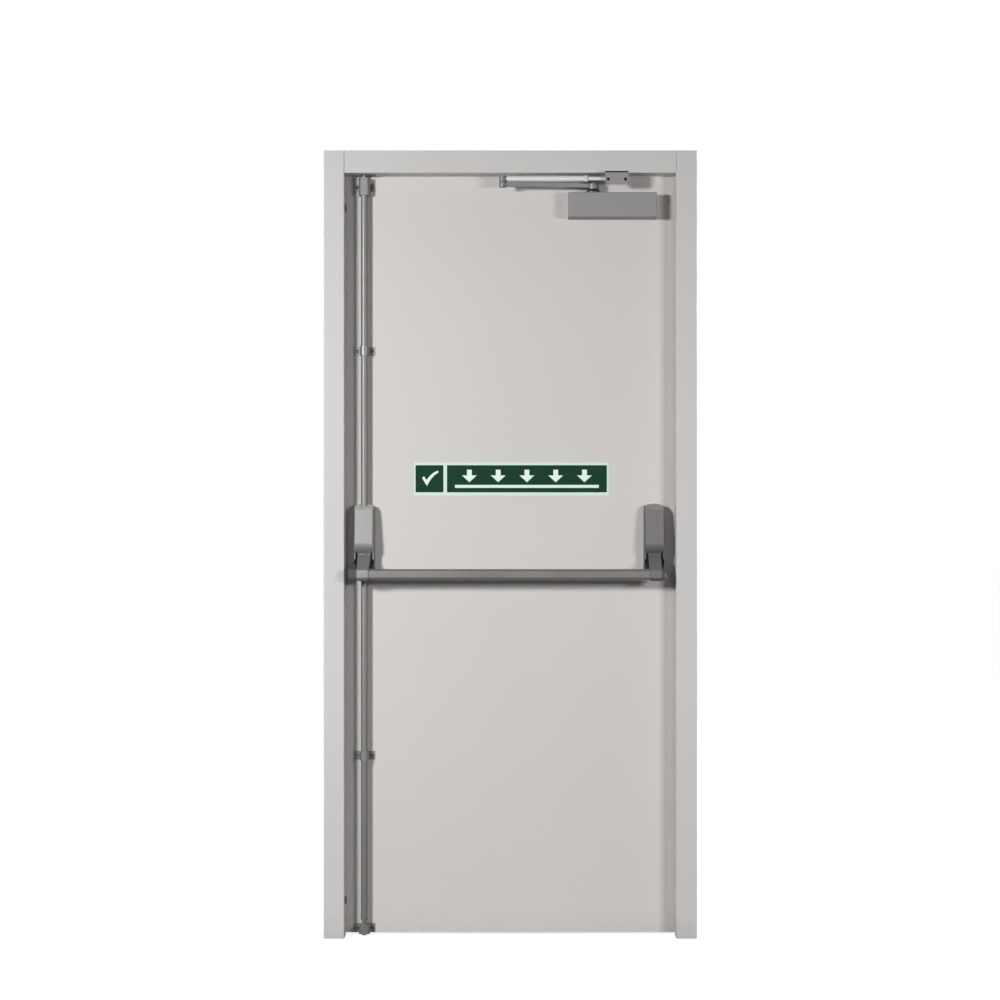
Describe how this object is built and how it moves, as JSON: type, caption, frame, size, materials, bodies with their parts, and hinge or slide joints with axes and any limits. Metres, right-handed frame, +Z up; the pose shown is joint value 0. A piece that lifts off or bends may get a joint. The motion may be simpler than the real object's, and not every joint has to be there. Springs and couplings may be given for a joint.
{
  "type": "steel fire exit door with frame",
  "caption": "Flush painted steel fire exit door in its pressed frame, with a push bar, vertical bolts, an overhead closer and a green sign, hinged to open outwards.",
  "frame": {"origin": "on the wall face of the hinge jamb's front backfold, at floor level", "axes": "+X from the door into the wall on the hinge side, +Y the way the door opens, +Z up"},
  "size_m": [0.995, 0.154, 2.1],
  "materials": {
    "frame_paint": "satin powder coat",
    "leaf_paint": "satin powder coat",
    "leaf_fill": "board fill",
    "zinc_steel": "zinc plated",
    "seal_rubber": "matt",
    "hinge_steel": "satin",
    "head_steel": "dark pressed steel",
    "cover_silver": "silver paint",
    "bar_silver": "silver paint",
    "bar_cap_plastic": "moulded",
    "rod_steel": "drawn",
    "guide_silver": "silver paint",
    "closer_silver": "silver paint",
    "arm_steel": "satin",
    "sign_plastic": "printed"
  },
  "bodies": {
    "frame": {"latch_jamb": "frame_paint", "hinge_jamb": "frame_paint", "frame_head": "frame_paint", "latch_fixing_straps": "zinc_steel", "hinge_fixing_straps": "zinc_steel", "latch_seal": "seal_rubber", "hinge_seal": "seal_rubber", "head_seal": "seal_rubber", "top_keeper": "zinc_steel", "closer_bracket": "closer_silver", "hinge_frame_leaf_bottom": "hinge_steel", "hinge_frame_leaf_middle": "hinge_steel", "hinge_frame_leaf_top": "hinge_steel"},
    "leaf": {"push_skin": "leaf_paint", "pull_skin": "leaf_paint", "leaf_core": "leaf_fill", "hinge_door_leaf_bottom": "hinge_steel", "hinge_door_leaf_middle": "hinge_steel", "hinge_door_leaf_top": "hinge_steel", "latch_head_body": "head_steel", "latch_head_cover": "cover_silver", "hinge_head_body": "head_steel", "hinge_head_cover": "cover_silver", "top_bolt_guide": "guide_silver", "upper_rod_guide": "guide_silver", "lower_rod_guide": "guide_silver", "bottom_bolt_guide": "guide_silver", "closer_body": "closer_silver", "closer_cover": "closer_silver", "sign_plate": "sign_plastic"},
    "push_bar": {"push_bar_tube": "bar_silver", "latch_lever": "cover_silver", "hinge_lever": "cover_silver", "latch_bar_cap": "bar_cap_plastic", "hinge_bar_cap": "bar_cap_plastic"},
    "top_rod": {"top_rod": "rod_steel", "top_bolt": "rod_steel"},
    "bottom_rod": {"bottom_rod": "rod_steel", "bottom_bolt": "rod_steel"},
    "closer_arm": {"closer_main_arm": "arm_steel", "arm_nut": "arm_steel"},
    "closer_forearm": {"forearm_tube": "arm_steel", "forearm_rod": "arm_steel"}
  },
  "joints": [
    {"name": "door_hinge", "type": "hinge", "parent": "frame", "child": "leaf", "pos_m": [-0.0375, 0.1005, 0], "axis": [0, 0, -1], "range_deg": [0, 105], "stiffness_Nm_per_rad": 12, "springref_deg": -57.3},
    {"name": "push_bar", "type": "hinge", "parent": "leaf", "child": "push_bar", "pos_m": [0, 0.0255, 1.058], "axis": [1, 0, 0], "range_deg": [0, 18], "stiffness_Nm_per_rad": 6, "springref_deg": -28.65},
    {"name": "top_rod_slide", "type": "slide", "parent": "leaf", "child": "top_rod", "axis": [0, 0, -1], "range_m": [0, 0.014]},
    {"name": "bottom_rod_slide", "type": "slide", "parent": "leaf", "child": "bottom_rod", "axis": [0, 0, 1], "range_m": [0, 0.014]},
    {"name": "closer_arm_pivot", "type": "hinge", "parent": "leaf", "child": "closer_arm", "pos_m": [-0.275, 0.0195, 2], "axis": [0, 0, 1], "range_deg": [0, 114.6]},
    {"name": "forearm_pivot", "type": "hinge", "parent": "frame", "child": "closer_forearm", "pos_m": [-0.215, -0.0165, 2.01], "axis": [0, 0, -1], "range_deg": [0, 75.7]}
  ],
  "couplings": [
    {"joint": "top_rod_slide", "follows": "push_bar", "m_per_rad": 0.044563},
    {"joint": "bottom_rod_slide", "follows": "push_bar", "m_per_rad": 0.044563},
    {"joint": "closer_arm_pivot", "follows": "door_hinge", "ratio": 1.0907},
    {"joint": "forearm_pivot", "follows": "door_hinge", "ratio": 0.72072}
  ]
}
